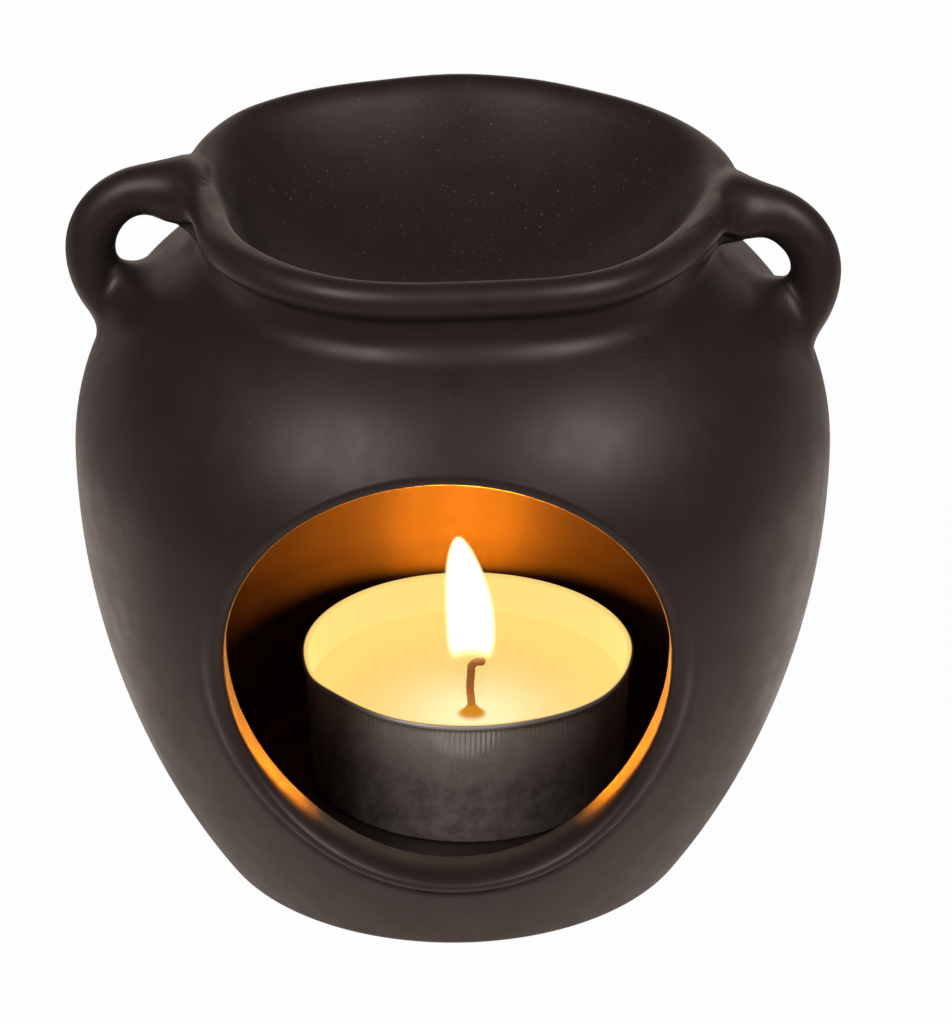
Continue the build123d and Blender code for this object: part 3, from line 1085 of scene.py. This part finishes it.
def flame_shell(name, share, material):
    """A shell with share of the flame's width.

    Its half width is that share of 2.75 (sin(pi t^0.95))^0.55 at t of its height.
    """
    t = np.linspace(0, 1, 100)[:, None]
    angle = np.linspace(-math.pi, math.pi, 64, endpoint=False)
    half = 2.75 * share * np.clip(np.sin(math.pi * t**0.95), 0, 1) ** 0.55
    z = FLAME_FOOT + (FLAME_HEIGHT - 3 * (1 - share)) * t
    x, y = flame_middle(z) + half * np.cos(angle), WICK[1] + half * np.sin(angle)
    sheet = np.stack([x, y, z * np.ones_like(angle)], -1)
    flame = cast(name, [(sheet, True)], "tealight", material)
    mark(flame, "body", flame_body)
    flame.visible_shadow = False


# Each shell's name, share of the width, light's colour and strength, and how much of it shows
shells = [
    ("flame_edge", 1.06, rgb(1.0, 0.78, 0.40), 1.6, 0.12),
    ("flame_veil", 1.0, rgb(1.0, 0.80, 0.42), 1.8, 0.35),
    ("flame_mantle", 0.92, rgb(1.0, 0.88, 0.60), 3.0, 0.6),
    ("flame_heart", 0.82, rgb(1.0, 0.95, 0.80), 5.0, 0.9),
]
for name, share, outside, strength, cover in shells:
    flame_shell(name, share, flame_light(name + "_light", outside, strength, cover))

# Light, floor and camera
scene = bpy.context.scene


def softbox(name, place, power):
    """A soft square lamp at place that looks at the pot's middle."""
    lamp = bpy.data.objects.new(name, bpy.data.lights.new(name, "AREA"))
    lamp.data.shape, lamp.data.size, lamp.data.energy = "SQUARE", 0.40, power
    lamp.location = place
    way = np.array([0, 0, 0.05]) - place
    lamp.rotation_euler = (math.atan2(math.hypot(way[0], way[1]), -way[2]), 0, math.atan2(-way[0], way[1]))
    scene.collection.objects.link(lamp)


softbox("softbox_left", (-0.46, -0.54, 0.62), power=3.9)
softbox("softbox_right", (0.54, -0.46, 0.62), power=3.6)

lit_by_candle = bpy.data.collections.new("lit_by_candle")
lit_by_candle.objects.link(pot)


def candle_light(name, power, height, soft, cone=0, tilt=0):
    """A small warm lamp in the flame, which goes where the tealight goes and lights the pot.

    With a cone in degrees it is a spot lamp, turned back from straight down by tilt degrees.
    """
    lamp = bpy.data.objects.new(name, bpy.data.lights.new(name, "SPOT" if cone else "POINT"))
    lamp.data.energy, lamp.data.color = power, (1.0, 0.275, 0.004)
    lamp.data.shadow_soft_size = soft * MM
    lamp.location = (0.0011, -0.0017, height * MM)
    if cone:
        lamp.data.spot_size, lamp.data.spot_blend = math.radians(cone), 1.0
        lamp.rotation_euler = (math.radians(tilt), 0, 0)
    lamp.light_linking.receiver_collection = lit_by_candle
    lamp.parent = frame["bodies"]["tealight"]
    scene.collection.objects.link(lamp)


candle_light("candle_light", power=0.036, height=22.2, soft=1.4)
candle_light("candle_light_back", power=0.14, height=29.5, soft=3.2, cone=165, tilt=95)
candle_light("candle_light_middle", power=0.23, height=32.0, soft=2.5, cone=44, tilt=75)
candle_light("candle_light_up", power=0.24, height=30.0, soft=1.8, cone=90, tilt=228)

# The room: white to the camera, and in reflections white low down behind and dim elsewhere
WARM_WHITE = rgb(1, 0.85, 0.76)
world = bpy.data.worlds.new("studio")
world.use_nodes = True
scene.world = world
room = Nodes(world.node_tree)
room.tree.nodes.clear()
_, back, up = room.parts(room.node("TexCoord", out="Generated"))
mirrored = 0.07 + 0.95 * room.between(back, 0.74, 0.97) * room.between(up, 0.35, 0.70, 1.0, 0.0)
camera_ray = room.node("LightPath", out="Is Camera Ray")
seen = room.larger(camera_ray, room.node("LightPath", out="Is Transmission Ray"))
glossy = room.node("LightPath", out="Is Glossy Ray")
white = room.node("Background", sockets={"Color": rgb(1, 1, 1), "Strength": 1.0})
ROOM_LEVEL = 0.18
level = ROOM_LEVEL + glossy * (mirrored - ROOM_LEVEL)
warm = room.node("Background", sockets={"Color": WARM_WHITE, "Strength": level})
room.node("OutputWorld", sockets={0: room.node("MixShader", sockets={0: seen, 1: warm, 2: white})})

# The floor: white to the camera, and in reflections bright near the pot and dim further off
floor_mesh = bpy.data.meshes.new("floor")
floor_mesh.from_pydata([(-3, -3, 0), (3, -3, 0), (3, 3, 0), (-3, 3, 0)], [], [(0, 1, 2, 3)])
floor = bpy.data.objects.new("floor", floor_mesh)
scene.collection.objects.link(floor)
paper = Finish("pale_floor", Base_Color=rgb(0.8, 0.8, 0.8), Roughness=0.8)
_, back, _ = paper.parts(paper.place())
far = paper.node("VectorMath", {"operation": "LENGTH"}, {0: paper.place()}, "Value")
seen = paper.node("LightPath", out="Is Camera Ray")
glossy = paper.node("LightPath", out="Is Glossy Ray")
behind = paper.between(back, -0.015, 0.02) * paper.between(far, 0.07, 0.2, 1.25, 0.4)
mirrored = paper.larger(paper.between(far, 0.05, 0.2, 0.66, 0.12), behind)
colour = paper.mix(seen, WARM_WHITE, rgb(1, 1, 1))
strength = paper.larger(seen, (1.0 - seen) * mirrored)
bright = paper.node("Emission", sockets={"Color": colour, "Strength": strength})
diffuse = Value(paper, paper.shader.outputs[0])
mixed = paper.node("MixShader", sockets={0: paper.larger(seen * 0.97, glossy), 1: diffuse, 2: bright})
paper.feed(paper.tree.nodes["Material Output"].inputs[0], mixed)
floor_mesh.materials.append(paper.material)

# The camera, in metres, as fitted to the photo's outline of the pot and cup
camera = bpy.data.objects.new("camera", bpy.data.cameras.new("camera"))
camera.data.lens, camera.data.sensor_width = 180.59, 36
camera.location = (0, -0.5153, 0.3011)
camera.rotation_euler = (math.radians(63.17), 0, math.radians(-0.287))
camera.data.clip_start = 0.01
scene.collection.objects.link(camera)
scene.camera = camera

scene.view_settings.view_transform = "Standard"
